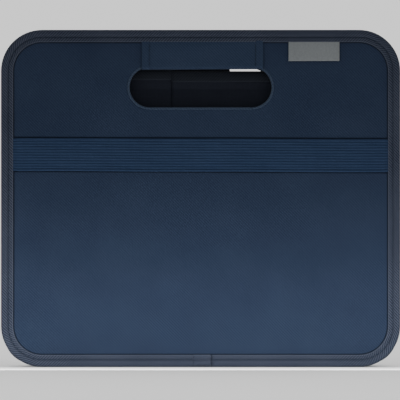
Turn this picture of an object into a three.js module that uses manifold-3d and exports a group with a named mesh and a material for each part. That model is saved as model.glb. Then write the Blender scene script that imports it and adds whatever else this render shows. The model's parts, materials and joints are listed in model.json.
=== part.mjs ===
// A folding fabric storage bin, folded flat and standing on its lower edge.
//
// Two stiff end panels, front and rear, face outwards along Y. Between them are a floor in two
// halves, creased across the middle, and two side walls, each in two halves with a centre crease.
// Folded, the floor halves stand upright back to back and the wall halves lie across the panels.
// Opened, everything turns by a quarter turn about hinge lines just inside the panels.
//
// Units are millimetres, +Z is up and +X is to the right of someone who faces the front panel.
// The origin is on the ground at the middle of the folded bin. The rear half is the front half
// turned half way round about Z, so every depth below is a distance from the middle plane.

import * as THREE from 'three';
import { mergeVertices } from 'three/addons/utils/BufferGeometryUtils.js';
import Module from 'manifold-3d';

const wasm = await Module();
wasm.setup();

// Sizes of an end panel, seen from the front.
const PANEL_WIDTH = 325;
const PANEL_HEIGHT = 274.5;
const CORNER_RADIUS = 33.5;
const CORNER_STEPS = 10;

// Every pair of neighbouring pieces keeps at least this gap.
const GAP = 0.3;

// Depths of the layers, from the middle plane outwards, as [nearer, farther].
const FLOOR_COVER = [0.3, 1.3];
const FLOOR_BOARD = [1.6, 4.0];
const FLOOR_LINING = [4.3, 5.3];
const WALL_BINDING = [15.4, 20.8];
const WALL_COVER = [16.5, 17.1];
const WALL_BOARD = [17.4, 18.8];
const WALL_LINING = [19.1, 19.7];
const INNER_STRIP = [18.9, 19.7];
const OUTER_STRIP = [16.5, 17.3];
const PANEL_BINDING = [22.2, 30.2];
const PANEL_LINING = [23.5, 24.3];
const PANEL_BOARD = [24.6, 27.4];
const PANEL_COVER = [27.7, 28.7];
const SLEEVE = [22.2, 30.2];
const TRIM = [29.0, 30.2];

// Hinge lines: the walls turn about upright lines and the floor about a level one.
const HINGE_DEPTH = 22;
const WALL_HINGE_X = 154;
const FLOOR_HINGE_Z = 24.7;
const HALF_LENGTH = 177;
const HINGE_CLEARANCE = 1.5;

// The panel's edge binding.
const BINDING_THICK = 1.2;
const BINDING_FACE_WIDTH = 10;
const BINDING_BACK_WIDTH = 6;
const BINDING_BACK_THICK = 1.0;

// The handle cutout and the sleeve round the web above it.
const CUTOUT_WIDTH = 116.5;
const CUTOUT_HEIGHT = 33.5;
const CUTOUT_Z = 227.75;
const SLEEVE_X = [-48, 51];
const SLEEVE_DROP = 1.6;
const SLEEVE_THICK = 1.2;
const SLEEVE_BACK_THICK = 1.0;

// Trim on the front panel.
const BAND_Z = [159, 186];
const TAG_X = [71.5, 113];
const TAG_Z = [249, 264];
const TAG_THICK = 0.8;

// Walls: the board of each half stops short of the centre, and a soft strip goes on to the crease.
// The strips of the two walls lie across each other, so one is level with the lining and the
// other with the cover.
const WALL_TOP = 241;
const WALL_BOARD_LENGTH = 129;
const STRIP_START = 129.5;
const TOP_BINDING_WIDTH = 9;
const TOP_BINDING_THICK = 0.8;

// The lower corner of the opened bin is a round of this radius, creased along its middle.
const LOWER_RADIUS = 23.3;
const OPEN_INSET = 3;
const LOWER_STEPS = 6;
const LIP_THICK = 1.0;
const CREASE_TRIM = 3.5;
const GUSSET_END_X = 3;
const DIAGONAL_CLEARANCE = 0.7;

const halfWidth = PANEL_WIDTH / 2;
const creaseRise = LOWER_RADIUS * (1 - Math.SQRT1_2);
const roundStartX = halfWidth - OPEN_INSET - LOWER_RADIUS;
const creaseX = halfWidth - OPEN_INSET - creaseRise;
const diagonalZ = OPEN_INSET + creaseRise;
// Near the panel the wall stops above the round lower corner, which has this width and height.
const roundedLength = LOWER_RADIUS - creaseRise;
const cutoutTop = CUTOUT_Z + CUTOUT_HEIGHT / 2;

function material(red, green, blue, roughness) {
  const color = new THREE.Color().setRGB(red / 255, green / 255, blue / 255, THREE.SRGBColorSpace);
  return new THREE.MeshStandardMaterial({ color, roughness, metalness: 0 });
}

const coverMaterial = () => material(42, 54, 76, 0.85);
const bindingMaterial = () => material(57, 68, 85, 0.8);
const bandMaterial = () => material(38, 58, 90, 0.85);
const liningMaterial = () => material(26, 30, 38, 0.9);
const boardMaterial = () => material(70, 70, 72, 0.7);
const tagMaterial = () => material(100, 103, 105, 0.8);

// ---- outlines ----

// A rounded rectangle that stands on z = inset and is centred on x = 0.
function panelOutline(inset) {
  const right = halfWidth - inset;
  const low = inset;
  const high = PANEL_HEIGHT - inset;
  const radius = Math.max(CORNER_RADIUS - inset, 1);
  const outline = new THREE.Shape();
  outline.absarc(right - radius, low + radius, radius, -Math.PI / 2, 0, false);
  outline.absarc(right - radius, high - radius, radius, 0, Math.PI / 2, false);
  outline.absarc(radius - right, high - radius, radius, Math.PI / 2, Math.PI, false);
  outline.absarc(radius - right, low + radius, radius, Math.PI, 1.5 * Math.PI, false);
  outline.closePath();
  return outline;
}

// The cutout's outline: two half circles joined by straight edges.
function cutoutOutline(margin) {
  const radius = CUTOUT_HEIGHT / 2 + margin;
  const reach = CUTOUT_WIDTH / 2 - CUTOUT_HEIGHT / 2;
  const outline = new THREE.Path();
  outline.absarc(reach, CUTOUT_Z, radius, -Math.PI / 2, Math.PI / 2, false);
  outline.absarc(-reach, CUTOUT_Z, radius, Math.PI / 2, 1.5 * Math.PI, false);
  outline.closePath();
  return outline;
}

function polygon(points) {
  return new THREE.Shape(points.map(([x, y]) => new THREE.Vector2(x, y)));
}

function rectangle([left, right], [low, high]) {
  return polygon([[left, low], [right, low], [right, high], [left, high]]);
}

// ---- solids ----

// An outline drawn in x and z, given thickness between two depths on the front side.
function upright(outline, [nearer, farther]) {
  const options = { depth: farther - nearer, bevelEnabled: false, curveSegments: CORNER_STEPS };
  const geometry = new THREE.ExtrudeGeometry(outline, options);
  geometry.rotateX(Math.PI / 2);
  geometry.translate(0, -nearer, 0);
  return geometry;
}

// An outline drawn in x and y, drawn up between two heights.
function column(outline, [low, high]) {
  const options = { depth: high - low, bevelEnabled: false, curveSegments: LOWER_STEPS };
  const geometry = new THREE.ExtrudeGeometry(outline, options);
  geometry.translate(0, 0, low);
  return geometry;
}

function solid(geometry) {
  const bare = geometry.clone();
  bare.deleteAttribute('normal');
  bare.deleteAttribute('uv');
  const merged = mergeVertices(bare, 1e-4);
  return new wasm.Manifold(new wasm.Mesh({
    numProp: 3,
    vertProperties: new Float32Array(merged.attributes.position.array),
    triVerts: new Uint32Array(merged.index.array),
  }));
}

function fromSolid(manifold) {
  const mesh = manifold.getMesh();
  const geometry = new THREE.BufferGeometry();
  geometry.setAttribute('position', new THREE.BufferAttribute(new Float32Array(mesh.vertProperties), 3));
  geometry.setIndex(new THREE.BufferAttribute(new Uint32Array(mesh.triVerts), 1));
  geometry.computeVertexNormals();
  return geometry;
}

function cut(body, ...tools) {
  const result = tools.reduce((left, tool) => left.subtract(solid(tool)), solid(body));
  return fromSolid(result);
}

function keepWithin(body, region) {
  return fromSolid(solid(body).intersect(solid(region)));
}

function piece(name, geometry, pieceMaterial) {
  const mesh = new THREE.Mesh(geometry, pieceMaterial);
  mesh.name = name;
  return mesh;
}

// ---- end panel ----

function panelPlate(inset, cutoutMargin, depths) {
  const outline = panelOutline(inset);
  outline.holes.push(cutoutOutline(cutoutMargin));
  return upright(outline, depths);
}

// A tape of U section round the whole edge, wider on the outer face than on the inner one.
function panelBinding() {
  const [inner, outer] = PANEL_BINDING;
  const body = upright(panelOutline(0), [inner, outer]);
  const channel = upright(
    panelOutline(BINDING_THICK), [inner + BINDING_BACK_THICK, outer - BINDING_THICK]);
  const backWindow = upright(panelOutline(BINDING_BACK_WIDTH), [inner - 1, inner + 3]);
  const faceWindow = upright(panelOutline(BINDING_FACE_WIDTH), [inner + 2, outer + 1]);
  return cut(body, channel, backWindow, faceWindow);
}

// A loop of fabric that hangs over the web from both sides and closes below it.
function handleSleeve() {
  const [inner, outer] = SLEEVE;
  const low = cutoutTop - SLEEVE_DROP;
  const high = PANEL_HEIGHT - BINDING_FACE_WIDTH - 0.5;
  const body = upright(rectangle(SLEEVE_X, [low, high]), [inner, outer]);
  const between = [inner + SLEEVE_BACK_THICK, outer - SLEEVE_THICK];
  const ends = [SLEEVE_X[0] - 1, SLEEVE_X[1] + 1];
  const level = (CUTOUT_WIDTH - CUTOUT_HEIGHT) / 2;
  const room = upright(rectangle(ends, [cutoutTop - GAP, high + 1]), between);
  const leftEnd = upright(rectangle([ends[0], -level], [low - 1, high]), between);
  const rightEnd = upright(rectangle([level, ends[1]], [low - 1, high]), between);
  return cut(body, room, leftEnd, rightEnd);
}

function elasticBand() {
  const reach = halfWidth - BINDING_FACE_WIDTH - 0.5;
  return upright(rectangle([-reach, reach], BAND_Z), TRIM);
}

function tag() {
  return upright(rectangle(TAG_X, TAG_Z), [TRIM[0], TRIM[0] + TAG_THICK]);
}

function endPanel(end) {
  const group = new THREE.Group();
  const inset = BINDING_THICK + GAP;
  group.add(
    piece(`${end}_cover`, panelPlate(inset, 0, PANEL_COVER), coverMaterial()),
    piece(`${end}_board`, panelPlate(inset, 1, PANEL_BOARD), boardMaterial()),
    piece(`${end}_lining`, panelPlate(inset, 0, PANEL_LINING), liningMaterial()),
    piece(`${end}_edge_binding`, panelBinding(), bindingMaterial()),
    piece(`${end}_handle_sleeve`, handleSleeve(), coverMaterial()),
  );
  return group;
}

// ---- floor ----

// Half of the round lower corner: points on an arc about (centreX, centreY) between two angles.
function arcPoints(centreX, centreY, radius, from, to) {
  const points = [];
  for (let step = 0; step <= LOWER_STEPS; step += 1) {
    const angle = from + (to - from) * step / LOWER_STEPS;
    points.push([centreX + radius * Math.sin(angle), centreY + radius * Math.cos(angle)]);
  }
  return points;
}

// The floor's underside cover, with a lip along each side that starts the round corner.
function floorCover(heights) {
  const outerY = -FLOOR_COVER[0];
  const centreY = outerY - LOWER_RADIUS;
  const end = Math.PI / 4 - CREASE_TRIM / LOWER_RADIUS / 2;
  const outer = arcPoints(roundStartX, centreY, LOWER_RADIUS, 0, end);
  const inner = arcPoints(roundStartX, centreY, LOWER_RADIUS - LIP_THICK, end, 0);
  const right = [...outer, ...inner];
  const left = right.map(([x, y]) => [-x, y]).reverse();
  return column(polygon([...right, ...left]), heights);
}

function floorHalf(end) {
  const group = new THREE.Group();
  const heights = [FLOOR_HINGE_Z + HINGE_CLEARANCE, FLOOR_HINGE_Z + HALF_LENGTH - GAP];
  const flat = rectangle([-roundStartX, roundStartX], heights);
  group.add(
    piece(`${end}_floor_cover`, floorCover(heights), coverMaterial()),
    piece(`${end}_floor_board`, upright(flat, FLOOR_BOARD), boardMaterial()),
    piece(`${end}_floor_lining`, upright(flat, FLOOR_LINING), liningMaterial()),
  );
  return group;
}

// The soft lower corner of a side wall, folded flat in front of the floor half.
function gusset(side) {
  const outerY = -FLOOR_COVER[0] - 2 * creaseRise;
  const centreY = outerY + LOWER_RADIUS;
  const start = Math.PI / 4 + CREASE_TRIM / LOWER_RADIUS / 2;
  const outer = arcPoints(roundStartX, centreY, -LOWER_RADIUS, -start + Math.PI / 2, 0)
    .map(([x, y]) => [2 * roundStartX - x, y]);
  const inner = arcPoints(roundStartX, centreY, LIP_THICK - LOWER_RADIUS, 0, -start + Math.PI / 2)
    .map(([x, y]) => [2 * roundStartX - x, y]);
  const section = [...outer, [GUSSET_END_X, outerY], [GUSSET_END_X, outerY + LIP_THICK], ...inner];
  const profile = polygon(section.map(([x, y]) => [side * x, y]));
  const low = FLOOR_HINGE_Z + HINGE_CLEARANCE;
  const high = FLOOR_HINGE_Z + HALF_LENGTH - GAP;
  const diagonalX = creaseX + FLOOR_HINGE_Z + DIAGONAL_CLEARANCE;
  const region = upright(
    polygon([
      [side * halfWidth, low],
      [side * halfWidth, high],
      [side * (diagonalX - high), high],
      [side * (diagonalX - low), low],
    ]),
    [1, HINGE_DEPTH]);
  return keepWithin(column(profile, [low, high]), region);
}

// ---- side walls ----

// The part of a wall half above its diagonal crease, from one length along it to another.
function wallOutline(side, [near, far], top) {
  const edge = diagonalZ + DIAGONAL_CLEARANCE;
  const start = near < roundedLength
    ? [[near, edge + roundedLength], [roundedLength, edge + roundedLength]]
    : [[near, edge + near]];
  return polygon([...start, [far, edge + far], [far, top], [near, top]]
    .map(([along, z]) => [side * (WALL_HINGE_X - along), z]));
}

function wallTopBinding(side) {
  const [inner, outer] = WALL_BINDING;
  const along = [
    side * (WALL_HINGE_X - HINGE_CLEARANCE),
    side * (WALL_HINGE_X - WALL_BOARD_LENGTH),
  ].sort((a, b) => a - b);
  const body = upright(rectangle(along, [WALL_TOP - TOP_BINDING_WIDTH, WALL_TOP]), [inner, outer]);
  const room = [WALL_TOP - 2 * TOP_BINDING_WIDTH, WALL_TOP - TOP_BINDING_THICK];
  const channel = upright(
    rectangle([along[0] - 1, along[1] + 1], room),
    [inner + TOP_BINDING_THICK, outer - TOP_BINDING_THICK]);
  return cut(body, channel);
}

function wallHalf(name, side, stripDepths) {
  const group = new THREE.Group();
  const boardEnds = [HINGE_CLEARANCE, WALL_BOARD_LENGTH];
  const stripEnds = [STRIP_START, HALF_LENGTH - GAP];
  const boardTop = WALL_TOP - TOP_BINDING_THICK - GAP;
  const outline = wallOutline(side, boardEnds, boardTop);
  const strip = wallOutline(side, stripEnds, WALL_TOP);
  group.add(
    piece(`${name}_wall_cover`, upright(outline, WALL_COVER), coverMaterial()),
    piece(`${name}_wall_board`, upright(outline, WALL_BOARD), boardMaterial()),
    piece(`${name}_wall_lining`, upright(outline, WALL_LINING), liningMaterial()),
    piece(`${name}_wall_top_binding`, wallTopBinding(side), bindingMaterial()),
    piece(`${name}_crease_strip`, upright(strip, stripDepths), coverMaterial()),
    piece(`${name}_gusset`, gusset(side), coverMaterial()),
  );
  return group;
}

// ---- the bin ----

// One half of the bin, as the front half lies. sides names its +X and -X walls.
function half(end, sides) {
  const group = new THREE.Group();
  group.add(
    endPanel(end),
    floorHalf(end),
    wallHalf(`${end}_${sides[0]}`, 1, INNER_STRIP),
    wallHalf(`${end}_${sides[1]}`, -1, OUTER_STRIP),
  );
  return group;
}

const bin = new THREE.Group();
const front = half('front', ['right', 'left']);
front.add(
  piece('elastic_band', elasticBand(), bandMaterial()),
  piece('tag', tag(), tagMaterial()),
);
const rear = half('rear', ['left', 'right']);
rear.rotation.z = Math.PI;
bin.add(front, rear);

export default bin;
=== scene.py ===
"""A folding fabric storage bin, folded flat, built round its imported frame.

Shapes are worked out in millimetres for the front half, whose panel faces -Y. The rear half is
the same shapes turned half way round about Z. Objects are made in metres.
"""

import json
import math

import bpy
import numpy as np
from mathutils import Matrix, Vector
from mathutils.geometry import delaunay_2d_cdt

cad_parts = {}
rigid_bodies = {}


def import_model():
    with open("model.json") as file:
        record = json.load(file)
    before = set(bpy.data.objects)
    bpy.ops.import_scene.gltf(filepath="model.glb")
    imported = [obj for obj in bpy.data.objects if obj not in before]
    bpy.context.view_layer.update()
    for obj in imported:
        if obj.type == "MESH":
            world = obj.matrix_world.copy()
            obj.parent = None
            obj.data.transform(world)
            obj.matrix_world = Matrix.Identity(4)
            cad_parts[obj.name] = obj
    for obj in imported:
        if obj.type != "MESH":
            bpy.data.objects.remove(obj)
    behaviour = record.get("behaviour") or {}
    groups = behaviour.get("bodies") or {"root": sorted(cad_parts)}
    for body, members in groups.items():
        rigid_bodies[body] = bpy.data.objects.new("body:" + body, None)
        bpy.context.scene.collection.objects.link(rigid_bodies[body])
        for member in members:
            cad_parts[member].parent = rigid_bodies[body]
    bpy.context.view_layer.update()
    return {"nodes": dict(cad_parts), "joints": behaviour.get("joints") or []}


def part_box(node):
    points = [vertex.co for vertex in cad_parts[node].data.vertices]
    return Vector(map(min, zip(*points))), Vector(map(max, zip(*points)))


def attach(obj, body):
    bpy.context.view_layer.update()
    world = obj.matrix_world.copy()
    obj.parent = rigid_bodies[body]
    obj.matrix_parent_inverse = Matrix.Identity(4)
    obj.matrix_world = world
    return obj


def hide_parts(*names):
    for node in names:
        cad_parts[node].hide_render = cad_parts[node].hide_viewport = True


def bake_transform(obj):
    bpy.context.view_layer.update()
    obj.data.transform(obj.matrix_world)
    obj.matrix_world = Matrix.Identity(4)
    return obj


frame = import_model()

MM = 0.001


def box_mm(node):
    """The lowest and highest corners of a CAD node, in millimetres."""
    low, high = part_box(node)
    return np.array(low) / MM, np.array(high) / MM


# ---- sizes, in millimetres, from the frame ----

BINDING_LOW, BINDING_HIGH = box_mm("front_edge_binding")
HALF_WIDTH = BINDING_HIGH[0]
HEIGHT = BINDING_HIGH[2]
OUTER_Y = BINDING_LOW[1]
COVER_Y = box_mm("front_cover")[0][1]
LINING_Y = box_mm("front_lining")[1][1]
FLOOR_COVER_Y = box_mm("front_floor_cover")[1][1]
FLOOR_LINING_Y = box_mm("front_floor_lining")[0][1]
WALL_COVER_Y = box_mm("front_right_wall_cover")[1][1]
WALL_LINING_Y = box_mm("front_right_wall_lining")[0][1]
BAND_LOW, BAND_HIGH = box_mm("elastic_band")
TAG_LOW, TAG_HIGH = box_mm("tag")
SLEEVE_LOW, SLEEVE_HIGH = box_mm("front_handle_sleeve")
WALL_TOP = box_mm("front_right_wall_top_binding")[1][2]

JOINTS = {joint["name"]: joint for joint in frame["joints"]}


def hinge_mm(name):
    """A joint's place, in millimetres."""
    return np.array(JOINTS[name]["pos_m"]) / MM


HINGE_Y = hinge_mm("floor_unfold")[1]
FLOOR_HINGE_Z = hinge_mm("floor_unfold")[2]
CREASE_Z = hinge_mm("floor_crease")[2]
HALF_LENGTH = CREASE_Z - FLOOR_HINGE_Z
WALL_HINGE_X = hinge_mm("front_right_wall_hinge")[0]
CORNER_HINGE = hinge_mm("front_right_corner_hinge")

# ---- sizes that the looks add ----


CORNER_RADIUS = 33.5
BINDING_WIDTH = 10.0
COVER_INSET = 1.5
CUTOUT_HALF_WIDTH = 58.25
CUTOUT_RADIUS = 16.75
CUTOUT_Z = 227.75
LOWER_RADIUS = (CORNER_HINGE[1] - FLOOR_COVER_Y) / (math.sqrt(0.5) - 1)
ROUNDED_LENGTH = LOWER_RADIUS * math.sqrt(0.5)
ROUND_START_X = CORNER_HINGE[0] - ROUNDED_LENGTH
CORNER_HINGE_OPEN_Z = HALF_WIDTH - CORNER_HINGE[0]
BOARD_END = 129.0
STEP_START = BOARD_END + 0.1
STEP_END = BOARD_END + 2.6
STEP_DEPTH = 2.4
HIGHER_WALL = 1.7
CREASE_LAP = 0.8
LAP_SHIFT = 0.7
WALL_TAPE_HEIGHT = 9
WALL_TAPE_HALF = 2.25
WALL_TAPE_HALF_SOFT = 0.75
FOLD_START_Z = 25.0
CUFF_WIDTH = 17.6
CUFF_START_Y = LINING_Y - 0.4
CUFF_ANGLES = (-97, 7)
RING_STEP = 5.0
BLEND_Z = 120
LAP_X = 8.0
LAP_LENGTH = 14.0
STITCH_PITCH = 4.2
STITCH_LENGTH = 3.0
STITCH_INSET = 6.1
SLEEVE_DROP = {"front": 2.1, "rear": 0.8}
SLEEVE_SHORT = {"front": 0.0, "rear": 3.0}
SLEEVE_STITCH_INSET = 6.3
SLEEVE_STITCH_PITCH = 3.6
BAND_RIBS = 12
BAND_LEAN = 0.5

ENDS = {"front": ("right", "left"), "rear": ("left", "right")}


def smooth(value, low, high):
    """0 below low, 1 above high and a smooth step between."""
    t = np.clip((np.asarray(value, float) - low) / (high - low), 0, 1)
    return t * t * (3 - 2 * t)


def bump_at(value, centre, width):
    """A rounded hump of height 1 at the centre."""
    return np.exp(-(((np.asarray(value, float) - centre) / width) ** 2))


def ripple(x, z, size, seed):
    """A gentle unevenness between about -1 and 1, the same every run."""
    total = 0.0
    for k in range(1, 5):
        angle = seed * 1.7 + k * 2.1
        turned = x * math.cos(angle) + z * math.sin(angle)
        total = total + np.sin(turned * k * 1.3 / size + seed * 3.1 * k) / k
    return total / 1.8


# ---- materials ----

class Nodes:
    """Short names for the few shader nodes that these materials use."""

    def __init__(self, name):
        self.material = bpy.data.materials.new(name)
        self.material.use_nodes = True
        self.tree = self.material.node_tree
        self.shader = self.tree.nodes["Principled BSDF"]

    def add(self, kind, **values):
        node = self.tree.nodes.new(kind)
        for key, value in values.items():
            setattr(node, key, value)
        return node

    def link(self, source, target):
        self.tree.links.new(source, target)

    def put(self, socket, value):
        if isinstance(value, bpy.types.NodeSocket):
            self.link(value, socket)
        else:
            socket.default_value = value

    def math(self, operation, first, second=0.0):
        node = self.add("ShaderNodeMath", operation=operation)
        self.put(node.inputs[0], first)
        self.put(node.inputs[1], second)
        return node.outputs[0]

    def blend(self, share, first, second):
        node = self.add("ShaderNodeMix", data_type="RGBA")
        self.put(node.inputs["Factor"], share)
        self.put(node.inputs["A"], first)
        self.put(node.inputs["B"], second)
        return node.outputs["Result"]

    def place(self):
        node = self.add("ShaderNodeSeparateXYZ")
        self.link(self.add("ShaderNodeTexCoord").outputs["Object"], node.inputs[0])
        return node.outputs

    def attribute(self, name):
        return self.add("ShaderNodeAttribute", attribute_name=name).outputs["Fac"]

    def noise(self, scale, detail=2.0):
        node = self.add("ShaderNodeTexNoise")
        node.inputs["Scale"].default_value = scale
        node.inputs["Detail"].default_value = detail
        self.link(self.add("ShaderNodeTexCoord").outputs["Object"], node.inputs["Vector"])
        return node.outputs["Fac"]

    def wave(self, position, pitch_mm):
        """Runs from 0 to 1 and back, once for each pitch along the position."""
        turns = self.math("MULTIPLY", position, 2 * math.pi / (pitch_mm * MM))
        halved = self.math("MULTIPLY", self.math("SINE", turns), 0.5)
        return self.math("ADD", halved, 0.5)

    def bump(self, height, strength, depth_mm):
        node = self.add("ShaderNodeBump")
        node.inputs["Strength"].default_value = strength
        node.inputs["Distance"].default_value = depth_mm * MM
        self.link(height, node.inputs["Height"])
        self.link(node.outputs["Normal"], self.shader.inputs["Normal"])


def finish_cloth(nodes, height, dark, light, roughness, sheen, depth_mm, contrast=0.5, painted_highlight=0.0):
    """Colour from the weave's height, two scales of unevenness and any painted highlight, and the weave
    as bump.
    """
    cloud = nodes.math("MULTIPLY", nodes.noise(28.0), 0.35)
    fleck = nodes.math("MULTIPLY", nodes.noise(700.0, 1.0), 0.4)
    thread = nodes.math("MULTIPLY", nodes.math("SUBTRACT", height, 0.5), contrast)
    share = nodes.math("ADD", nodes.math("ADD", cloud, fleck), thread)
    share = nodes.math("ADD", nodes.math("ADD", share, 0.15), painted_highlight)
    nodes.link(nodes.blend(share, (*dark, 1), (*light, 1)), nodes.shader.inputs["Base Color"])
    worn = nodes.math("MULTIPLY", nodes.noise(60.0), 0.12)
    nodes.link(nodes.math("ADD", worn, roughness - 0.06), nodes.shader.inputs["Roughness"])
    nodes.shader.inputs["Sheen Weight"].default_value = sheen
    nodes.shader.inputs["Sheen Roughness"].default_value = 0.45
    nodes.shader.inputs["Specular IOR Level"].default_value = 0.08
    nodes.bump(height, 0.55, depth_mm)
    return nodes.material


def twill(name, dark, light, roughness=0.72, sheen=0.02, pitch_mm=2.4):
    """Woven cloth with fine diagonal ribs, crossed by its weft."""
    nodes = Nodes(name)
    x, _, z = nodes.place()
    ribs = nodes.wave(nodes.math("ADD", x, z), pitch_mm)
    weft = nodes.wave(nodes.math("SUBTRACT", x, z), pitch_mm * 0.5)
    height = nodes.math("ADD", nodes.math("MULTIPLY", ribs, 0.7), nodes.math("MULTIPLY", weft, 0.3))
    return finish_cloth(nodes, height, dark, light, roughness, sheen, 0.12)


def plain_weave(name, dark, light, roughness=0.85, sheen=0.01, pitch_mm=1.1):
    """Woven cloth with threads over and under each other along X and Z."""
    nodes = Nodes(name)
    x, _, z = nodes.place()
    warp = nodes.wave(x, pitch_mm)
    weft = nodes.wave(z, pitch_mm)
    return finish_cloth(nodes, nodes.math("MULTIPLY", warp, weft), dark, light, roughness, sheen, 0.1)


def tape(name, dark, light, pitch_mm=2.4):
    """Twill tape with leaning ribs, and a lighter band where its across attribute starts: a painted
    highlight along the tape's edge.
    """
    nodes = Nodes(name)
    along = nodes.attribute("along")
    across = nodes.attribute("across")
    ribs = nodes.wave(nodes.math("ADD", along, across), pitch_mm)
    ticks = nodes.wave(across, pitch_mm * 0.5)
    height = nodes.math("ADD", nodes.math("MULTIPLY", ribs, 0.75), nodes.math("MULTIPLY", ticks, 0.25))
    # Painted highlight: the first 1.2 mm of the section, at the tape's edge, is made lighter.
    painted_edge_highlight = nodes.math("LESS_THAN", across, 1.2 * MM)
    painted_highlight = nodes.math("MULTIPLY", painted_edge_highlight, 0.45)
    return finish_cloth(nodes, height, dark, light, 0.75, 0.04, 0.2, 1.1, painted_highlight)


def knit(name, dark, light):
    """Elastic: the ribs are in its mesh, and the material adds the fine cross threads."""
    nodes = Nodes(name)
    x = nodes.place()[0]
    cross = nodes.wave(x, 0.9)
    return finish_cloth(nodes, cross, dark, light, 0.7, 0.02, 0.08)


def moulded_board(name, dark, light):
    """Plain board with a faint uneven grain."""
    nodes = Nodes(name)
    share = nodes.noise(220.0, 3.0)
    nodes.link(nodes.blend(share, (*dark, 1), (*light, 1)), nodes.shader.inputs["Base Color"])
    nodes.shader.inputs["Roughness"].default_value = 0.6
    nodes.bump(share, 0.3, 0.1)
    return nodes.material


MATERIALS = {
    "cover": twill("cover_twill", (0.002, 0.0055, 0.0175), (0.0150, 0.0235, 0.0435)),
    "wall": twill("wall_twill", (0.006, 0.012, 0.025), (0.014, 0.023, 0.042)),
    "lining": plain_weave("lining_weave", (0.003, 0.004, 0.007), (0.0110, 0.0130, 0.0200)),
    "tape": tape("binding_tape", (0.001, 0.003, 0.010), (0.033, 0.039, 0.056)),
    "wall_tape": tape("wall_tape", (0.002, 0.003, 0.005), (0.0085, 0.0105, 0.0155)),
    "edge": tape("cutout_tape", (0.009, 0.015, 0.028), (0.022, 0.032, 0.052)),
    "sleeve": twill("sleeve_twill", (0.002, 0.007, 0.020), (0.0195, 0.0295, 0.0530)),
    "band": knit("elastic_knit", (0.003, 0.009, 0.026), (0.013, 0.025, 0.053)),
    "tag": plain_weave("tag_weave", (0.080, 0.087, 0.091), (0.155, 0.165, 0.171), 0.8, 0.05, 0.9),
    # Near-black cloth for the thin cords laid where there is only shade: painted shadow in gaps.
    "shadow_cord": plain_weave("painted_gap_shadow", (0.002, 0.004, 0.010), (0.007, 0.012, 0.025)),
    "thread": plain_weave("stitch_thread", (0.004, 0.008, 0.016), (0.011, 0.018, 0.032)),
    "board": moulded_board("board_plastic", (0.045, 0.045, 0.048), (0.075, 0.075, 0.080)),
}

# ---- making pieces ----


def make_object(name, points, faces, material, end="front", attributes=None):
    """A mesh object from front-half millimetres, turned half way round for the rear end."""
    points = np.array(points, float)
    if end == "rear":
        points = points * (-1, -1, 1)
    mesh = bpy.data.meshes.new(name)
    mesh.from_pydata((points * MM).tolist(), [], faces)
    for key, values in (attributes or {}).items():
        layer = mesh.attributes.new(key, "FLOAT", "POINT")
        layer.data.foreach_set("value", (np.array(values, float) * MM).astype(np.float32))
    mesh.validate()
    mesh.update()
    mesh.shade_smooth()
    mesh.materials.append(MATERIALS[material])
    made = bpy.data.objects.new(name, mesh)
    bpy.context.scene.collection.objects.link(made)
    return made


def thicken(piece, thickness, offset=-1.0):
    """Gives a sheet its thickness, on the side away from its faces' normals."""
    modifier = piece.modifiers.new("thickness", "SOLIDIFY")
    modifier.thickness = thickness * MM
    modifier.offset = offset
    return piece


def outline_points(inset, spacing=4.0, start_x=0.0):
    """The panel's outline, anticlockwise from the front, from the bottom edge at start_x."""
    radius = CORNER_RADIUS - inset
    right = HALF_WIDTH - CORNER_RADIUS
    low = CORNER_RADIUS
    high = HEIGHT - CORNER_RADIUS
    corners = [(right, low, -90), (right, high, 0), (-right, high, 90), (-right, low, 180)]
    points = []
    for index, (cx, cz, begin) in enumerate(corners):
        for step in range(17):
            angle = math.radians(begin + step * 90 / 16)
            points.append((cx + radius * math.cos(angle), cz + radius * math.sin(angle)))
        next_x, next_z, next_begin = corners[(index + 1) % 4]
        angle = math.radians(next_begin)
        target = (next_x + radius * math.cos(angle), next_z + radius * math.sin(angle))
        here = points[-1]
        stops = [0.0, 1.0]
        if index == 3:
            share = (start_x - here[0]) / (target[0] - here[0])
            stops = [0.0, share, 1.0]
        filled = fill_between(here, target, stops, spacing)
        points.extend(filled)
        if index == 3:
            first = len(points) - 1 - next(
                k for k, p in enumerate(reversed(points)) if abs(p[0] - start_x) < 1e-6)
    return points[first:] + points[:first]


def fill_between(here, target, stops, spacing):
    """Points on the straight run between two corners, without its ends."""
    length = math.dist(here, target)
    shares = []
    for a, b in zip(stops, stops[1:]):
        count = max(1, round(length * (b - a) / spacing))
        shares.extend(a + (b - a) * k / count for k in range(1, count + 1))
    return [tuple(np.array(here) + (np.array(target) - here) * s) for s in shares[:-1]]


def stadium_points(margin, steps=20):
    """The cutout's outline, margin bigger all round."""
    reach = CUTOUT_HALF_WIDTH - CUTOUT_RADIUS
    radius = CUTOUT_RADIUS + margin
    points = []
    for side, begin in ((1, -90), (-1, 90)):
        for step in range(steps + 1):
            angle = math.radians(begin + 180 * step / steps)
            points.append((side * reach + radius * math.cos(angle), CUTOUT_Z + radius * math.sin(angle)))
        if side == 1:
            points.extend(fill_between(points[-1], (-reach, CUTOUT_Z + radius), [0.0, 1.0], 3.0))
    points.extend(fill_between(points[-1], points[0], [0.0, 1.0], 3.0))
    return points


def stadium_distance(x, z):
    """How far a point is outside the cutout's edge."""
    reach = CUTOUT_HALF_WIDTH - CUTOUT_RADIUS
    beyond = np.maximum(np.abs(x) - reach, 0)
    return np.hypot(beyond, z - CUTOUT_Z) - CUTOUT_RADIUS


def panel_distance(x, z):
    """How far a point is inside the panel's outline."""
    across = np.abs(x) - (HALF_WIDTH - CORNER_RADIUS)
    up = np.abs(z - HEIGHT / 2) - (HEIGHT / 2 - CORNER_RADIUS)
    corner = CORNER_RADIUS - np.hypot(np.maximum(across, 0), np.maximum(up, 0))
    return np.where((across > 0) | (up > 0), corner, CORNER_RADIUS - np.maximum(across, up))


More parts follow.
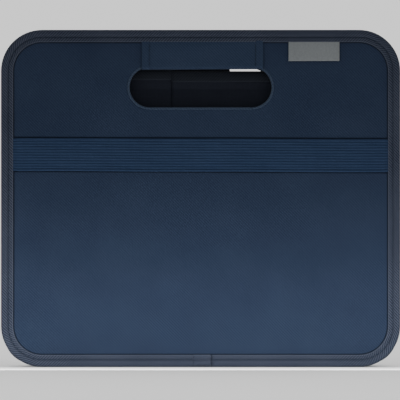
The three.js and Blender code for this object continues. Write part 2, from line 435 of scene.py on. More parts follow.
def inside(points, ring):
    """Which points lie inside a closed ring."""
    ring = np.array(ring, float)
    found = np.zeros(len(points), bool)
    previous = ring[-1]
    for current in ring:
        crosses = (current[1] > points[:, 1]) != (previous[1] > points[:, 1])
        rise = previous[1] - current[1]
        if abs(rise) > 1e-12:
            at = (previous[0] - current[0]) * (points[:, 1] - current[1]) / rise + current[0]
            found ^= crosses & (points[:, 0] < at)
        previous = current
    return found


def ring_distance(points, ring):
    """The distance of each point from a closed ring."""
    best = np.full(len(points), np.inf)
    ring = np.array(ring, float)
    for a, b in zip(ring, np.roll(ring, -1, axis=0)):
        d = b - a
        t = np.clip(((points - a) @ d) / max(d @ d, 1e-12), 0, 1)
        best = np.minimum(best, np.linalg.norm(points - a - t[:, None] * d, axis=1))
    return best


def dense_ring(ring, spacing):
    """A ring with more points along its long sides."""
    points = []
    for a, b in zip(ring, ring[1:] + ring[:1]):
        points.append(a)
        if math.dist(a, b) > 1.5 * spacing:
            points.extend(fill_between(a, b, [0.0, 1.0], spacing))
    return points


def triangulate(ring, holes, spacing, columns=()):
    """Points and triangles that fill a ring, less its holes, at an even spacing. columns are
    places in x where a line of points is added."""
    rings = [ring, *holes]
    corners = np.array(ring, float)
    low, high = corners.min(axis=0), corners.max(axis=0)
    rows = np.arange(low[1] + spacing / 2, high[1], spacing * 0.87)
    inner = []
    for index, row in enumerate(rows):
        shift = spacing / 2 * (index % 2)
        inner.extend((x, row) for x in np.arange(low[0] + spacing / 2 + shift, high[0], spacing)
                     if all(abs(x - column) > spacing * 0.3 for column in columns))
        inner.extend((column, row) for column in columns)
    inner = np.array(inner)
    keep = inside(inner, ring)
    for hole in holes:
        keep &= ~inside(inner, hole)
    inner = inner[keep]
    far = np.ones(len(inner), bool)
    for each in rings:
        far &= ring_distance(inner, each) > spacing * 0.45
    inner = inner[far]
    points, edges = [], []
    for each in rings:
        first = len(points)
        points.extend(each)
        edges.extend((first + k, first + (k + 1) % len(each)) for k in range(len(each)))
    points.extend(map(tuple, inner))
    made = delaunay_2d_cdt(points, edges, [], 0, 1e-6)
    spots = np.array([tuple(p) for p in made[0]])
    triangles = np.array(made[2])
    centres = spots[triangles].mean(axis=1)
    keep = inside(centres, ring)
    for hole in holes:
        keep &= ~inside(centres, hole)
    return spots, triangles[keep].tolist()


def plate(name, end, ring, holes, depth, facing, material, thickness, spacing=4.0, columns=()):
    """A sheet over an outline in x and z, at the depth that a function gives. facing is -1 where
    its shown side faces the front panel's way out and 1 where it faces the middle."""
    spots, triangles = triangulate(ring, holes, spacing, columns)
    x, z = spots[:, 0], spots[:, 1]
    points = np.stack([x, depth(x, z), z], axis=1)
    if facing > 0:
        triangles = [face[::-1] for face in triangles]
    return thicken(make_object(name, points, triangles, material, end), thickness)


def grid_faces(rows, columns, closed=False):
    """Quads between rows of points. closed joins each row's last point to its first."""
    faces = []
    for row in range(rows - 1):
        for column in range(columns if closed else columns - 1):
            beside = (column + 1) % columns
            faces.append((
                row * columns + column,
                row * columns + beside,
                (row + 1) * columns + beside,
                (row + 1) * columns + column,
            ))
    return faces


def swept(name, end, sections, material, capped=True, flip=False):
    """A tube through closed sections, with the along and across attributes of a tape."""
    sections = np.array(sections, float)
    rows, columns = sections.shape[:2]
    faces = grid_faces(rows, columns, closed=True)
    if capped:
        faces.append(tuple(range(columns))[::-1])
        faces.append(tuple((rows - 1) * columns + k for k in range(columns)))
    if flip:
        faces = [face[::-1] for face in faces]
    middle = sections.mean(axis=1)
    along = np.concatenate([[0], np.cumsum(np.linalg.norm(np.diff(middle, axis=0), axis=1))])
    steps = np.linalg.norm(np.diff(sections[0], axis=0), axis=1)
    across = np.concatenate([[0], np.cumsum(steps)])
    attributes = {"along": np.repeat(along, columns), "across": np.tile(across, rows)}
    return make_object(name, sections.reshape(-1, 3), faces, material, end, attributes)


def rounded_path(points, steps=3):
    """A smooth open path through the given points."""
    points = np.array(points, float)
    padded = np.vstack([2 * points[0] - points[1], points, 2 * points[-1] - points[-2]])
    path = []
    for k in range(1, len(padded) - 2):
        p0, p1, p2, p3 = padded[k - 1:k + 3]
        for step in range(steps):
            t = step / steps
            path.append(0.5 * (2 * p1 + (p2 - p0) * t + (2 * p0 - 5 * p1 + 4 * p2 - p3) * t * t
                               + (3 * p1 - p0 - 3 * p2 + p3) * t ** 3))
    path.append(points[-1])
    return np.array(path)


def dress(piece, body, slot, *nodes):
    """Says which body a piece rides on and hides the CAD nodes it stands for. The slot is not used."""
    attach(piece, body)
    if nodes:
        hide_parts(*nodes)
    return piece


def ring_area(ring):
    """The area inside a closed ring of (x, z) points."""
    ring = np.array(ring, float)
    x, z = ring[:, 0], ring[:, 1]
    return abs((x * np.roll(z, -1) - z * np.roll(x, -1)).sum()) / 2


def declare(ring, holes=()):
    """Works out the area that a flat cut sheet was cut to, and does nothing more with it."""
    area = (ring_area(ring) - sum(ring_area(hole) for hole in holes)) * MM * MM


# ---- end panels ----

def cover_depth(end):
    """The outer cover: sunk along the binding, proud round the cutout and a little uneven."""
    def depth(x, z):
        shadow_cord = 0.45 * bump_at(panel_distance(x, z), BINDING_WIDTH, 1.8)
        rim = 0.25 * bump_at(stadium_distance(x, z), 3.0, 2.5)
        sunk = shadow_cord - rim - 0.12 * ripple(x, z, 34, 1.0) - 0.10
        if end == "front":
            sunk = sunk + 0.3 * bump_at(z, BAND_LOW[2] - 0.8, 1.3)
            sunk = sunk + 0.3 * bump_at(z, BAND_HIGH[2] + 0.8, 1.3)
        return COVER_Y + sunk
    return depth


def lining_depth(x, z):
    """The panel's lining: drawn in along the binding and a little uneven."""
    return LINING_Y - 0.25 * bump_at(panel_distance(x, z), 7.0, 2.0) + 0.08 * ripple(x, z, 30, 2.0)


def panel_cloth(end):
    """The panel's outer cover and its lining."""
    ring = outline_points(COVER_INSET)
    hole = stadium_points(0.0)
    cover = plate(f"{end}_panel_cover", end, ring, [hole], cover_depth(end), -1, "cover", 0.9, 3.0)
    declare(ring, [hole])
    dress(cover, f"{end}_panel", "cover_fabric", f"{end}_cover")
    lining = plate(f"{end}_panel_lining", end, ring, [hole], lining_depth, 1, "lining", 0.7, 5.0)
    declare(ring, [hole])
    dress(lining, f"{end}_panel", "lining_fabric", f"{end}_lining")


def binding_section():
    """The tape's section as (inset from the outline, y): round the outside, then back inside."""
    outside = rounded_path([
        (10.0, COVER_Y - 0.3), (9.7, OUTER_Y + 0.5), (9.1, OUTER_Y + 0.55), (7.8, OUTER_Y + 0.6),
        (6.8, OUTER_Y + 0.7), (6.2, OUTER_Y + 1.05), (5.7, OUTER_Y + 0.95), (5.0, OUTER_Y + 0.1),
        (3.8, OUTER_Y - 0.5), (2.4, OUTER_Y - 0.6), (1.1, OUTER_Y - 0.1), (0.25, OUTER_Y + 1.0),
        (0.0, OUTER_Y + 3.0), (0.0, OUTER_Y + 5.0), (0.3, OUTER_Y + 6.8), (1.2, OUTER_Y + 7.8),
        (2.8, OUTER_Y + 8.2), (4.6, OUTER_Y + 8.0), (6.0, OUTER_Y + 7.2),
    ])
    back = [
        (5.6, LINING_Y + 0.15), (3.0, LINING_Y + 0.15), (1.2, LINING_Y + 0.15),
        (1.2, COVER_Y - 0.15), (3.0, COVER_Y - 0.15), (6.0, COVER_Y - 0.15), (9.6, COVER_Y - 0.15),
    ]
    return np.vstack([outside, back])


def ring_frames(start_x):
    """Stations round the panel's edge: the point on the outline and the direction inwards."""
    outer = np.array(outline_points(0.0, 5.0, start_x))
    inner = np.array(outline_points(1.0, 5.0, start_x))
    outer = np.vstack([outer, outer[:1]])
    inner = np.vstack([inner, inner[:1]])
    return outer, inner - outer


def panel_binding(end):
    """The tape round the panel, from and to its lap at the bottom edge."""
    section = binding_section()
    outer, inwards = ring_frames(LAP_X)
    stations = []
    for index, (point, inward) in enumerate(zip(outer, inwards)):
        proud = 0.12 * math.sin(index * 0.9) * bump_at(index % 7, 3, 2)
        inset, y = section[:, 0], section[:, 1]
        ridge = proud * bump_at(inset, 2.6, 1.6)
        spot = point[None, :] + inward[None, :] * inset[:, None]
        stations.append(np.stack([spot[:, 0], y - ridge, spot[:, 1]], axis=1))
    return swept(f"{end}_binding_tape", end, stations, "tape")


def binding_lap(end):
    """The free end of the tape, lying over its start."""
    section = binding_section()
    section = section[:np.argmax(section[:, 0] < 1.2) + 1]
    rows = []
    for index, x in enumerate(np.linspace(LAP_X - LAP_LENGTH, LAP_X + 0.4, 12)):
        lift = 0.6 * smooth(index, 0, 4) * smooth(section[:, 0], 0.8, 2.5)
        rows.append(np.stack([np.full(len(section), x), section[:, 1] - lift, section[:, 0]], axis=1))
    run = np.linalg.norm(np.diff(section, axis=0), axis=1)
    attributes = {"along": np.array(rows)[:, :, 0].ravel(),
                  "across": np.tile(np.concatenate([[0], np.cumsum(run)]), len(rows))}
    piece = make_object(f"{end}_binding_lap", np.array(rows).reshape(-1, 3),
                        grid_faces(len(rows), len(section)), "tape", end, attributes)
    return thicken(piece, 0.3, 0.0)


def stitches(name, end, spots, directions, width=0.35):
    """A row of short threads, each a slim closed capsule lying along its direction."""
    profile = [(-0.5, 0.25), (-0.3, 0.85), (0.0, 1.0), (0.3, 0.85), (0.5, 0.25)]
    points, faces = [], []
    for spot, direction in zip(spots, directions):
        first = len(points)
        side = np.array([-direction[2], 0, direction[0]])
        out = np.array([0, 1.0, 0])
        for share, size in profile:
            for k in range(6):
                angle = k * math.pi / 3
                round_it = math.cos(angle) * side + 0.7 * math.sin(angle) * out
                points.append(spot + direction * share * STITCH_LENGTH + round_it * size * width)
        faces.extend(tuple(first + k for k in face) for face in grid_faces(len(profile), 6, True))
        faces.append(tuple(first + k for k in range(5, -1, -1)))
        faces.append(tuple(first + 24 + k for k in range(6)))
    return make_object(name, points, faces, "thread", end)


def spaced_along(path, pitch):
    """Spots and directions at an even pitch along a path of points."""
    path = np.array(path, float)
    run = np.concatenate([[0], np.cumsum(np.linalg.norm(np.diff(path, axis=0), axis=1))])
    at = np.arange(pitch / 2, run[-1], pitch)
    spots = np.stack([np.interp(at, run, path[:, k]) for k in range(3)], axis=1)
    ahead = np.stack([np.interp(at + 0.5, run, path[:, k]) for k in range(3)], axis=1)
    directions = ahead - spots
    length = np.linalg.norm(directions, axis=1, keepdims=True)
    return spots, directions / np.maximum(length, 1e-9)


def binding_shadow_cord(end):
    """A dark cord that stands for the shadow where the tape's inner edge meets the cover."""
    section = [(10.0, COVER_Y - 0.1), (10.1, COVER_Y - 0.3), (10.4, COVER_Y - 0.4),
               (10.75, COVER_Y - 0.25), (10.9, COVER_Y + 0.2), (10.4, COVER_Y + 0.3)]
    outer, inwards = ring_frames(LAP_X)
    stations = []
    for point, inward in zip(outer, inwards):
        stations.append([(point[0] + inward[0] * inset, y, point[1] + inward[1] * inset)
                         for inset, y in section])
    return swept(f"{end}_binding_shadow_cord", end, stations, "shadow_cord")


def binding_stitches(end):
    """The row of stitches in the tape's groove."""
    ring = np.array(outline_points(STITCH_INSET, 3.0, LAP_X))
    y = np.full(len(ring), OUTER_Y + 0.95)
    path = np.stack([ring[:, 0], y, ring[:, 1]], axis=1)
    return stitches(f"{end}_binding_stitches", end, *spaced_along(path, STITCH_PITCH))


def cutout_edge(end):
    """The narrow turned edge round the cutout."""
    section = [(1.5, COVER_Y - 0.05), (1.3, COVER_Y - 0.45), (0.5, COVER_Y - 0.6),
               (-0.25, COVER_Y - 0.3), (-0.5, COVER_Y + 0.6), (-0.5, LINING_Y - 0.6),
               (-0.25, LINING_Y + 0.3), (0.5, LINING_Y + 0.6), (1.3, LINING_Y + 0.45),
               (1.5, LINING_Y + 0.05), (0.3, LINING_Y - 0.2), (0.3, COVER_Y + 0.2)]
    stations = []
    inner = np.array(stadium_points(0.0))
    wider = np.array(stadium_points(1.0))
    inner = np.vstack([inner, inner[:1]])
    wider = np.vstack([wider, wider[:1]])
    for point, outwards in zip(inner, wider - inner):
        stations.append([
            (point[0] + outwards[0] * margin, y, point[1] + outwards[1] * margin)
            for margin, y in section])
    return swept(f"{end}_cutout_edge", end, stations, "edge", capped=True)


def sleeve_section(drop):
    """The sleeve's section as (y, z): down the outside, round below the web and up inside."""
    top = HEIGHT - BINDING_WIDTH
    low = CUTOUT_Z + CUTOUT_RADIUS - drop
    outside = rounded_path([
        (COVER_Y - 0.55, top + 1.2), (COVER_Y - 0.95, top - 0.8), (COVER_Y - 1.35, top - 3.5),
        (COVER_Y - 1.45, top - 9.0), (COVER_Y - 1.5, top - 14.0), (COVER_Y - 1.75, low + 3.6),
        (COVER_Y - 1.6, low + 1.4), (COVER_Y - 0.2, low), (COVER_Y + 2.4, low - 0.1),
        (LINING_Y - 0.5, low), (LINING_Y + 1.1, low + 1.4), (LINING_Y + 1.3, low + 4.0),
        (LINING_Y + 1.1, top - 8.0), (LINING_Y + 0.9, top + 1.0),
    ], 4)
    return outside


def handle_sleeve(end):
    """The sleeve round the web, with a turned hem at each end. The rear one sits a little higher
    and stops a little short."""
    section = sleeve_section(SLEEVE_DROP[end])
    columns = len(section)
    left, right = SLEEVE_LOW[0], SLEEVE_HIGH[0] - SLEEVE_SHORT[end]
    spots = np.unique(np.concatenate([
        np.linspace(left, left + 8, 12),
        np.arange(left + 8, right - 8, 2.5),
        np.linspace(right - 8, right, 12)]))
    rows = []
    middle_y = (COVER_Y + LINING_Y) / 2
    for x in spots:
        edge = min(x - left, right - x)
        hem = 0.32 * float(smooth(-edge, -6.8, -6.2)) - 0.25 * float(bump_at(edge, 7.0, 0.5))
        hem = hem - 0.35 * float(smooth(-edge, -0.5, 0.0))
        soft = 0.10 * math.sin(x * 0.21) + 0.06 * math.sin(x * 0.53)
        grow = np.sign(middle_y - section[:, 0]) * (hem + soft * smooth(-section[:, 1], -262, -246))
        rise = 0.005 * x + 0.04 * math.sin(x * 0.13)
        rows.append(np.stack([np.full(columns, x), section[:, 0] - grow, section[:, 1] + rise], axis=1))
    rows = np.array(rows)
    piece = make_object(f"{end}_web_sleeve", rows.reshape(-1, 3), grid_faces(len(rows), columns),
                        "sleeve", end)
    thicken(piece, 0.7)
    return piece


def sleeve_stitches(end):
    """One row of stitches down each hem."""
    spots, directions = [], []
    left, right = SLEEVE_LOW[0], SLEEVE_HIGH[0] - SLEEVE_SHORT[end]
    top = HEIGHT - BINDING_WIDTH - 1.5
    low = CUTOUT_Z + CUTOUT_RADIUS + 1.5
    for x in (left + SLEEVE_STITCH_INSET, right - SLEEVE_STITCH_INSET):
        path = [(x, COVER_Y - 2.0, top), (x, COVER_Y - 2.05, low)]
        found = spaced_along(path, SLEEVE_STITCH_PITCH)
        spots.extend(found[0])
        directions.extend(found[1])
    return stitches(f"{end}_sleeve_stitches", end, spots, directions, 0.28)


def elastic_band():
    """The ribbed band. Its ends narrow a little where the binding holds them."""
    samples = 8
    rows = BAND_RIBS * samples + 1
    reach = HALF_WIDTH - BINDING_WIDTH + 1.2
    spots = np.concatenate([
        np.linspace(-reach, -reach + 8, 9), np.linspace(-reach + 10, reach - 10, 90),
        np.linspace(reach - 8, reach, 9)])
    low, high = BAND_LOW[2], BAND_HIGH[2]
    points = []
    for row in range(rows):
        share = row / (rows - 1)
        rib = abs(math.sin(math.pi * share * BAND_RIBS))
        edge = -0.2 if share < 0.07 else 0.0
        for x in spots:
            held = float(smooth(abs(x), reach - 6, reach))
            half = (high - low) / 2 * (1 - 0.025 * held)
            z = (low + high) / 2 + half * (2 * share - 1) - BAND_LEAN * x / reach
            z = z + 0.10 * math.sin(x * 0.045)
            y = BAND_HIGH[1] - 0.55 - 0.5 * rib + edge + 0.75 * held
            points.append((x, y + 0.05 * math.sin(x * 0.11 + row), z))
    piece = make_object("ribbed_band", points, grid_faces(rows, len(spots)), "band")
    thicken(piece, 0.6)
    dress(piece, "front_panel", "elastic", "elastic_band")


def band_shadow_cords():
    """Painted shadow: the shade in the gaps along the band's upper and lower edges, drawn as thin dark
    cords.
    """
    reach = HALF_WIDTH - BINDING_WIDTH
    for place, z in (("upper", BAND_HIGH[2] + 0.55), ("lower", BAND_LOW[2] - 0.5)):
        stations = []
        for x in np.linspace(-reach, reach, 60):
            lean = z - BAND_LEAN * x / reach
            stations.append([(x, COVER_Y + 0.3, lean - 0.45), (x, COVER_Y - 0.3, lean - 0.35),
                             (x, COVER_Y - 0.3, lean + 0.35), (x, COVER_Y + 0.3, lean + 0.45)])
        dress(swept(f"band_{place}_seam", "front", stations, "shadow_cord"), "front_panel", "elastic")


def tag():
    """A small blank loop of woven ribbon, sewn in under the binding's edge."""
    top = TAG_HIGH[2] + 1.2
    low = TAG_LOW[2]
    section = rounded_path([
        (COVER_Y - 0.65, top), (COVER_Y - 1.0, top - 2.4), (COVER_Y - 1.3, top - 7.0),
        (COVER_Y - 1.6, low + 2.5), (COVER_Y - 1.55, low + 0.5), (COVER_Y - 1.0, low),
        (COVER_Y - 0.55, low + 0.6), (COVER_Y - 0.5, low + 2.5), (COVER_Y - 0.35, top - 6.0),
        (COVER_Y - 0.25, top),
    ], 4)
    spots = np.linspace(TAG_LOW[0], TAG_HIGH[0], 28)
    rows = []
    for x in spots:
        share = (x - TAG_LOW[0]) / (TAG_HIGH[0] - TAG_LOW[0])
        lift = 0.35 * (2 * share - 1) ** 2 + 0.08 * math.sin(9 * share)
        down = smooth(-section[:, 1], -top, -low)
        y = section[:, 0] - lift * down
        z = section[:, 1] + 0.15 * down * share
        rows.append(np.stack([np.full(len(section), x), y, z], axis=1))
    piece = make_object("blank_tag", np.array(rows).reshape(-1, 3),
                        grid_faces(len(rows), len(section)), "tag")
    thicken(piece, 0.25)
    dress(piece, "front_panel", "tag_fabric", "tag")


def end_panel(end):
    """The cloth, tapes and stitches of one end panel."""
    body = f"{end}_panel"
    panel_cloth(end)
    dress(panel_binding(end), body, "binding_tape", f"{end}_edge_binding")
    dress(binding_lap(end), body, "binding_tape")
    dress(binding_shadow_cord(end), body, "binding_tape")
    dress(binding_stitches(end), body, "binding_tape")
    dress(cutout_edge(end), body, "binding_tape")
    dress(handle_sleeve(end), body, "cover_fabric", f"{end}_handle_sleeve")
    dress(sleeve_stitches(end), body, "cover_fabric")


# ---- floor ----

def lip(across):
    """How far the round lower corner has risen towards the panel at a distance from the middle."""
    beyond = np.clip(np.abs(across) - ROUND_START_X, 0, LOWER_RADIUS)
    return LOWER_RADIUS - np.sqrt(LOWER_RADIUS ** 2 - beyond ** 2)


def floor_half(end):
    """The cover under one floor half and the lining on top of it."""
    body = f"{end}_floor"
    low, high = FLOOR_HINGE_Z + 0.3, CREASE_Z - 0.1
    reach = CORNER_HINGE[0] - 0.1
    ring = dense_ring([(-reach, low), (reach, low), (reach, high), (-reach, high)], RING_STEP)

    def under(x, z):
        return FLOOR_COVER_Y - lip(x) + 0.06 * ripple(x, z, 40, 4.0) - 0.1

    cover = plate(f"{end}_floor_underside", end, ring, [], under, 1, "cover", 0.8, 5.0)
    declare(ring)
    dress(cover, body, "cover_fabric", f"{end}_floor_cover")
    flat = ROUND_START_X + 0.5
    ring = dense_ring([(-flat, low), (flat, low), (flat, high), (-flat, high)], RING_STEP)

    def top(x, z):
        edge = np.minimum(flat - np.abs(x), np.minimum(z - low, high - z))
        return FLOOR_LINING_Y + 0.5 * bump_at(edge, 0.0, 2.5) - 0.10 * ripple(x, z, 40, 5.0)

    lining = plate(f"{end}_floor_top", end, ring, [], top, -1, "lining", 0.8, 5.0)
    declare(ring)
    dress(lining, body, "lining_fabric", f"{end}_floor_lining")


def arc_strip(name, end, centre, radius, angles, reach, along_axis, material, tabs):
    """A strip bent round a hinge line. along_axis is "x" or "z"; angles are in degrees from +Y,
    and tabs are extra (y-or-x, other) points before and after the arc."""
    low, high = reach
    path = [np.array(p, float) for p in tabs[0]]
    for k in range(13):
        angle = math.radians(angles[0] + (angles[1] - angles[0]) * k / 12)
        path.append(np.array(centre) + radius * np.array([math.cos(angle), math.sin(angle)]))
    path.extend(np.array(p, float) for p in tabs[1])
    spots = np.linspace(low, high, max(2, round((high - low) / 5)))
    points = []
    for spot in spots:
        for first, second in path:
            points.append((spot, first, second) if along_axis == "x" else (second, first, spot))
    piece = make_object(name, points, grid_faces(len(spots), len(path)), material, end)
    return piece, np.array(path), high - low


def strip_sheet(piece, path, run):
    """Works out the length of a bent strip's path, and does nothing more with it."""
    length = np.linalg.norm(np.diff(path, axis=0), axis=1).sum()


def in_metres(point, end):
    """A point of the front half in metres, turned half way round for the rear."""
    turn = -1 if end == "rear" else 1
    return (point[0] * turn * MM, point[1] * turn * MM, point[2] * MM)


def floor_flap(end):
    """The cloth that rises from the panel's lower edge to the folded floor half."""
    radius = FLOOR_COVER_Y - HINGE_Y
    panel, floor = f"{end}_panel", f"{end}_floor"
    tabs = ([(LINING_Y - 0.3, FLOOR_HINGE_Z - radius)], [(FLOOR_COVER_Y, FLOOR_HINGE_Z + 6)])
    piece, path, run = arc_strip(
        f"{end}_bottom_fold", end, (HINGE_Y, FLOOR_HINGE_Z), radius, (-90, 0),
        (-ROUND_START_X - 2, ROUND_START_X + 2), "x", "cover", tabs)
    thicken(piece, 0.7, 0.0)
    strip_sheet(piece, path, run)
    blend_ends = ((0, HINGE_Y, FLOOR_HINGE_Z - radius), (0, FLOOR_COVER_Y, FLOOR_HINGE_Z))
    link(piece, (panel, floor), blend_ends, end)


def corner_cuff(end, side):
    """The cloth that carries on round the lower corner, between the floor's and the wall's folds."""
    sign = 1 if is_inner(end, side) else -1
    radius = LOWER_RADIUS + 0.3
    centre_z = HALF_WIDTH - ROUND_START_X
    rows = []
    for angle in np.radians(np.linspace(*CUFF_ANGLES, 27)):
        x = ROUND_START_X + radius * math.cos(angle)
        z = centre_z + radius * math.sin(angle)
        across = np.linspace(CUFF_START_Y, CUFF_START_Y + CUFF_WIDTH, 5)
        rows.append([(sign * x, y, z) for y in across])
    piece = make_object(f"{end}_{side}_corner_cuff", np.array(rows).reshape(-1, 3),
                        grid_faces(len(rows), 5), "wall", end)
    thicken(piece, 0.5, 0.0)
    dress(piece, f"{end}_panel", "cover_fabric")


def link(piece, pair, ends, end):
    """Where a joint connects the two bodies, bakes a strip in place on no body; otherwise puts it on the
    first body.
    """
    if frozenset(pair) in joined_bodies():
        in_metres(ends[0], end)
        in_metres(ends[1], end)
        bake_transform(piece)
    else:
        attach(piece, pair[0])


def joined_bodies():
    """Every pair of bodies that a joint connects."""
    return {frozenset((joint["parent"], joint["child"])) for joint in frame["joints"]}


def floor_crease():
    """The lining's bend over the top of the folded floor."""
    radius = -FLOOR_LINING_Y
    tabs = ([(FLOOR_LINING_Y, CREASE_Z - 5)], [(-FLOOR_LINING_Y, CREASE_Z - 5)])
    piece, path, run = arc_strip(
        "floor_crease_bend", "front", (0.0, CREASE_Z), radius, (180, 0),
        (-ROUND_START_X, ROUND_START_X), "x", "lining", tabs)
    thicken(piece, 0.7, 0.0)
    strip_sheet(piece, path, run)
    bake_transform(piece)


# ---- side walls ----

def is_inner(end, side):
    """Whether this wall half's soft strip lies on its lining side, nearest its panel when folded."""
    return ENDS[end][0] == side


def wall_ring(sign, far, top, near=0.6):
    """The part of a wall half above its diagonal crease and its round lower corner."""
    rise = CORNER_HINGE_OPEN_Z
    ring = [(WALL_HINGE_X - near, rise + ROUNDED_LENGTH),
            (WALL_HINGE_X - ROUNDED_LENGTH, rise + ROUNDED_LENGTH), (WALL_HINGE_X - far, rise + far),
            (WALL_HINGE_X - far, top), (WALL_HINGE_X - near, top)]
    ring = [(sign * x, z) for x, z in ring]
    return dense_ring(ring, RING_STEP)


def wall_half(end, side):
    """Half a side wall, with its tape, its soft lower corner and its fold to the panel."""
    inner = is_inner(end, side)
    sign = 1 if inner else -1
    name = f"{end}_{side}"
    body = f"{name}_wall"
    top = WALL_TOP + (HIGHER_WALL if side == "left" else 0.0)
    far = HALF_LENGTH + CREASE_LAP

    def soft(x):
        along = WALL_HINGE_X - sign * x
        return smooth(along, STEP_START, STEP_END), smooth(along, HALF_LENGTH - 2, far)

    def cover_y(x, z):
        thin, lap = soft(x)
        sunk = STEP_DEPTH * thin - LAP_SHIFT * lap if inner else LAP_SHIFT * lap
        return WALL_COVER_Y - sunk - 0.05 + 0.05 * ripple(x, z, 26, 6.0 + sign)

    def lining_y(x, z):
        thin, lap = soft(x)
        sunk = LAP_SHIFT * lap if inner else STEP_DEPTH * thin - LAP_SHIFT * lap
        return WALL_LINING_Y + sunk + 0.05 - 0.05 * ripple(x, z, 26, 8.0 + sign)

    ring = wall_ring(sign, far, top - 0.8)
    steps = [*np.linspace(STEP_START, STEP_END, 5), HALF_LENGTH - 1.5, HALF_LENGTH - 0.5]
    columns = [sign * (WALL_HINGE_X - step) for step in steps]
    cover = plate(f"{name}_wall_outside", end, ring, [], cover_y, 1, "wall", 0.3, 4.0, columns)
    declare(ring)
    lining = plate(f"{name}_wall_inside", end, ring, [], lining_y, -1, "lining", 0.3, 4.0, columns)
    declare(ring)
    strip = f"{name}_crease_strip"
    dress(cover, body, "cover_fabric", f"{name}_wall_cover", strip)
    dress(lining, body, "lining_fabric", f"{name}_wall_lining")
    dress(wall_tape(name, end, sign, inner, top), body, "binding_tape", f"{name}_wall_top_binding")
    gusset(name, end, sign)
    wall_fold(name, end, sign, top)


def wall_tape(name, end, sign, inner, top):
    """The tape over the wall's top edge. It thins where the wall has no board."""
    stations = []
    middle = (WALL_COVER_Y + WALL_LINING_Y) / 2
    thin_middle = WALL_LINING_Y + 0.6 if inner else WALL_COVER_Y - 0.6
    for along in np.concatenate([np.arange(0.6, HALF_LENGTH - 3, 4.0), [HALF_LENGTH + CREASE_LAP]]):
        thin = float(smooth(along, BOARD_END - 1, BOARD_END + 5))
        half = WALL_TAPE_HALF * (1 - thin) + WALL_TAPE_HALF_SOFT * thin
        centre = middle * (1 - thin) + thin_middle * thin
        section = [(-half + 0.1, top - WALL_TAPE_HEIGHT), (-half - 0.15, top - 8.4),
                   (-half, top - 5), (-half, top - 1.2), (-half * 0.6, top - 0.2), (0, top),
                   (half * 0.6, top - 0.2), (half, top - 1.2), (half, top - 5),
                   (half + 0.15, top - 8.4), (half - 0.1, top - WALL_TAPE_HEIGHT)]
        x = sign * (WALL_HINGE_X - along)
        stations.append([(x, centre + y, z) for y, z in section])
    return swept(f"{name}_wall_tape", end, stations, "wall_tape", flip=sign > 0)


def gusset(name, end, sign):
    """The soft lower corner, folded flat in front of the floor half."""
    low, high = FLOOR_HINGE_Z + 0.3, CREASE_Z + CREASE_LAP
    side_x = CORNER_HINGE[0] - 0.1
    tip = CORNER_HINGE[0] - (high - FLOOR_HINGE_Z)
    ring = [(side_x, low), (side_x, high), (tip, high)]
    ring = dense_ring([(sign * x, z) for x, z in ring], RING_STEP)
    flat_y = 2 * CORNER_HINGE[1] - FLOOR_COVER_Y

    def depth(x, z):
        apart = LAP_SHIFT * sign * smooth(-sign * x, -12, -2)
        lap = 0.4 * sign * smooth(z, high - 4, high)
        return flat_y + lip(x) + 0.05 * ripple(x, z, 30, 3.0) - apart - lap

    piece = plate(f"{name}_lower_corner_cloth", end, ring, [], depth, -1, "wall", 0.6, 5.0)
    piece.data.materials.append(MATERIALS["lining"])
    piece.modifiers["thickness"].material_offset = 1
    declare(ring)
    dress(piece, f"{name}_lower_corner", "cover_fabric", f"{name}_gusset")


def wall_fold(name, end, sign, top):
    """The cloth that turns from the panel's inner face to the folded wall."""
    radius = WALL_COVER_Y - HINGE_Y
    tabs = ([(LINING_Y - 0.3, WALL_HINGE_X + radius)], [(WALL_COVER_Y, WALL_HINGE_X - 5)])
    piece, path, run = arc_strip(
        f"{name}_wall_fold", end, (HINGE_Y, WALL_HINGE_X), radius, (90, 0),
        (FOLD_START_Z, top - 0.5), "z", "wall", tabs)
    if sign < 0:
        for vertex in piece.data.vertices:
            vertex.co.x *= -1
    thicken(piece, 0.6, 0.0)
    strip_sheet(piece, path, run)
    ends = ((sign * (WALL_HINGE_X + radius), HINGE_Y, BLEND_Z),
            (sign * WALL_HINGE_X, WALL_COVER_Y, BLEND_Z))
    link(piece, (f"{end}_panel", f"{name}_wall"), ends, end)


# ---- camera, floor and light ----

def area_light(name, place, aim, size, power):
    """A white rectangular lamp that the camera doesn't see."""
    data = bpy.data.lights.new(name, "AREA")
    data.shape = "RECTANGLE"
    data.size, data.size_y = size
    data.energy = power
    lamp = bpy.data.objects.new(name, data)
    lamp.location = place
    direction = np.array(aim, float) - np.array(place, float)
    lamp.rotation_euler = look(direction)
    lamp.visible_camera = False
    bpy.context.scene.collection.objects.link(lamp)


def look(direction):
    """The turn that points a lamp along a direction."""
    return Vector(direction).to_track_quat("-Z", "Y").to_euler()


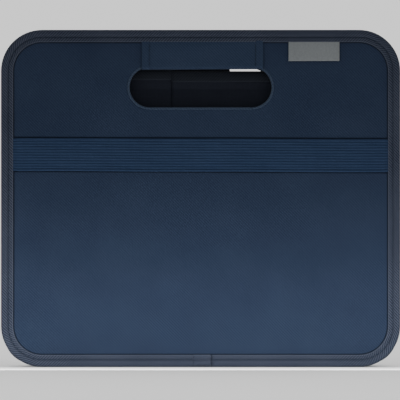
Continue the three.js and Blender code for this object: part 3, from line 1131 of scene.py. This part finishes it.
def stage_material(name, colour):
    """A matt ground with a faint unevenness."""
    nodes = Nodes(name)
    share = nodes.noise(3.0)
    nodes.link(nodes.blend(share, (*colour, 1), (*(c * 0.985 for c in colour), 1)),
               nodes.shader.inputs["Base Color"])
    nodes.shader.inputs["Roughness"].default_value = 0.9
    return nodes.material


def studio():
    """A pale floor, even light all round, a thin lamp low in front and a large one farther off."""
    reach = 6.0
    mesh = bpy.data.meshes.new("stage_floor")
    corners = [(-reach, -reach, 0), (reach, -reach, 0), (reach, reach, 0), (-reach, reach, 0)]
    mesh.from_pydata(corners, [], [(0, 1, 2, 3)])
    mesh.materials.append(stage_material("stage_white", (0.92, 0.92, 0.92)))
    ground = bpy.data.objects.new("stage_floor", mesh)
    bpy.context.scene.collection.objects.link(ground)
    world = bpy.data.worlds.new("studio")
    world.use_nodes = True
    background = world.node_tree.nodes["Background"]
    background.inputs["Color"].default_value = (1, 1, 1, 1)
    background.inputs["Strength"].default_value = 1.1
    bpy.context.scene.world = world
    strip_y, strip_z, strip_size, strip_power = -0.140, 0.030, (0.7, 0.012), 0.95
    area_light("front_low", (0, strip_y, strip_z), (0, 0, strip_z), strip_size, strip_power)
    high_place, high_size, high_power, middle = (-0.5, -1.6, 1.3), (1.2, 1.2), 1.0, (0, 0, 0.14)
    area_light("front_high", high_place, middle, high_size, high_power)


def camera():
    """A distant camera square on to the front panel."""
    distance, middle_z, shown_mm = 6.0, 0.136, 325.4
    data = bpy.data.cameras.new("camera")
    data.sensor_width = 36.0
    data.lens = 36.0 * distance / (shown_mm * MM)
    data.clip_end = 60.0
    made = bpy.data.objects.new("camera", data)
    made.location = (-0.0005, OUTER_Y * MM - distance, middle_z)
    made.rotation_euler = (math.pi / 2, 0, 0)
    bpy.context.scene.collection.objects.link(made)
    bpy.context.scene.camera = made


def paint_boards():
    """The boards stay as CAD nodes, inside their cloth."""
    for name, node in frame["nodes"].items():
        if name.endswith("_board"):
            node.data.materials.clear()
            node.data.materials.append(MATERIALS["board"])


camera()
studio()
paint_boards()
for end_name, side_names in ENDS.items():
    end_panel(end_name)
    floor_half(end_name)
    floor_flap(end_name)
    for side_name in side_names:
        wall_half(end_name, side_name)
        corner_cuff(end_name, side_name)
elastic_band()
band_shadow_cords()
tag()
floor_crease()
